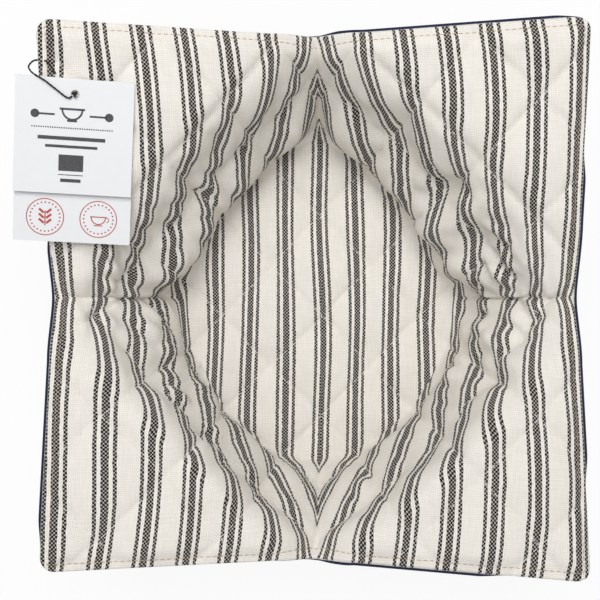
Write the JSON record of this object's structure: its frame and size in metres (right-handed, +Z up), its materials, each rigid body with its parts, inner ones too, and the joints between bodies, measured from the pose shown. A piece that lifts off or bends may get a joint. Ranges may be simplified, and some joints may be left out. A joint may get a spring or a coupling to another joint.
{
  "type": "microwave bowl cozy",
  "caption": "Quilted striped cotton bowl cozy, square with darts that form a bowl, navy back, and a folded hang tag on a string.",
  "frame": {"origin": "middle of the rim's outline, at the underside of the base", "axes": "+Z up out of the bowl, +Y towards the edge beside the tag's corner, +X across the stripes"},
  "size_m": [0.2735, 0.2608, 0.0964],
  "materials": {
    "striped_cotton": "matt plain weave, cream with charcoal ticking stripes",
    "batting": "soft felted cotton",
    "navy_cotton": "matt plain weave",
    "tag_card": "smooth uncoated",
    "tag_string": "twisted"
  },
  "bodies": {
    "root": {"inner_panel": "striped_cotton", "batting": "batting", "outer_panel": "navy_cotton", "tag_card": "tag_card", "tag_string": "tag_string", "string_knot": "tag_string"}
  },
  "joints": []
}
